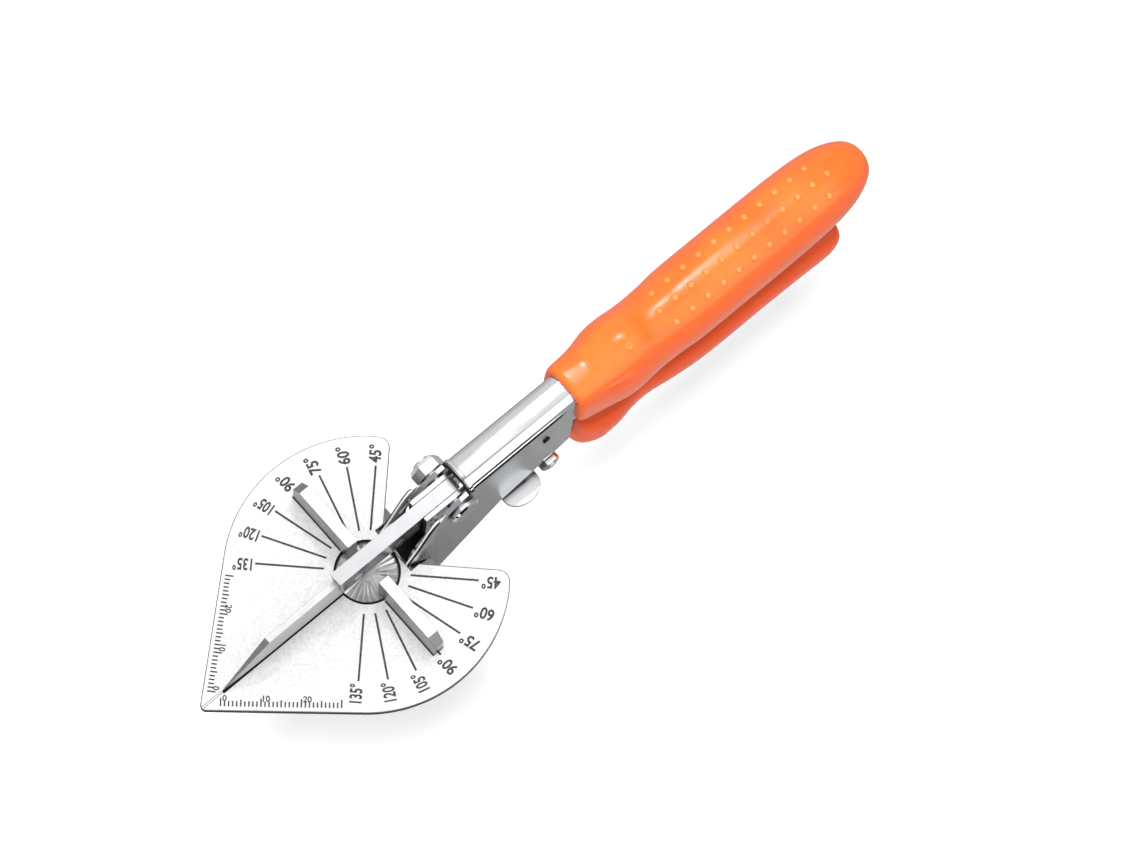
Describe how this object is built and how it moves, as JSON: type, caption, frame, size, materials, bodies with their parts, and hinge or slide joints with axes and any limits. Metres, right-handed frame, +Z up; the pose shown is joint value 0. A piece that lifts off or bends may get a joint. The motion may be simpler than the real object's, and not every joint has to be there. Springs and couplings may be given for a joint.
{
  "type": "mitre shears",
  "caption": "Multi-angle mitre shears: a blade lever crosses the upper handle and cuts trim against a swivelling fence on an angle-marked plate.",
  "frame": {"origin": "on the fence's turning axis, in the plane of the plate's underside", "axes": "+X along the plate towards its tip, away from the grips; +Y to the left; +Z up through the plate, towards the blade"},
  "size_m": [0.2263, 0.073, 0.0511],
  "materials": {
    "plate_steel": "bright plated, polished",
    "handle_steel": "bright plated pressed sheet",
    "dark_steel": "dull, in shadow",
    "fastener_steel": "zinc plated",
    "fence_steel": "satin ground",
    "lever_steel": "bright plated pressed sheet",
    "holder_steel": "bright plated",
    "blade_steel": "ground and polished",
    "spring_steel": "drawn wire",
    "upper_grip_vinyl": "satin dipped vinyl",
    "lower_grip_vinyl": "satin dipped vinyl"
  },
  "bodies": {
    "frame": {"base_plate": "plate_steel", "upper_handle": "handle_steel", "heel_block": "dark_steel", "heel_pin": "fastener_steel", "plate_stud_left": "fastener_steel", "plate_stud_right": "fastener_steel", "pivot_bolt": "fastener_steel", "pivot_nut": "fastener_steel", "catch_pin": "fastener_steel", "upper_grip": "upper_grip_vinyl"},
    "fence": {"fence_hub": "fence_steel", "fence_bar_left": "fence_steel", "fence_bar_right": "fence_steel"},
    "lever": {"blade_lever": "lever_steel", "blade_holder": "holder_steel", "blade": "blade_steel", "blade_screw_front": "fastener_steel", "blade_screw_rear": "fastener_steel", "holder_rivet_upper": "fastener_steel", "holder_rivet_lower": "fastener_steel", "return_spring": "spring_steel", "lower_grip": "lower_grip_vinyl", "latch_screw": "fastener_steel", "latch_washer": "fastener_steel", "latch_nut": "fastener_steel"},
    "latch": {"latch": "lever_steel"}
  },
  "joints": [
    {"name": "lever_pivot", "type": "hinge", "parent": "frame", "child": "lever", "pos_m": [-0.0261, 0, 0.016], "axis": [0, -1, 0], "range_deg": [0, 25], "deforming": ["return_spring"]},
    {"name": "fence_swivel", "type": "hinge", "parent": "frame", "child": "fence", "pos_m": [0, 0, 0], "axis": [0, 0, 1], "range_deg": [-45, 45]},
    {"name": "latch_pivot", "type": "hinge", "parent": "lever", "child": "latch", "pos_m": [-0.0551, 0.0037, 0.001], "axis": [0, 1, 0], "range_deg": [0, 12]}
  ]
}
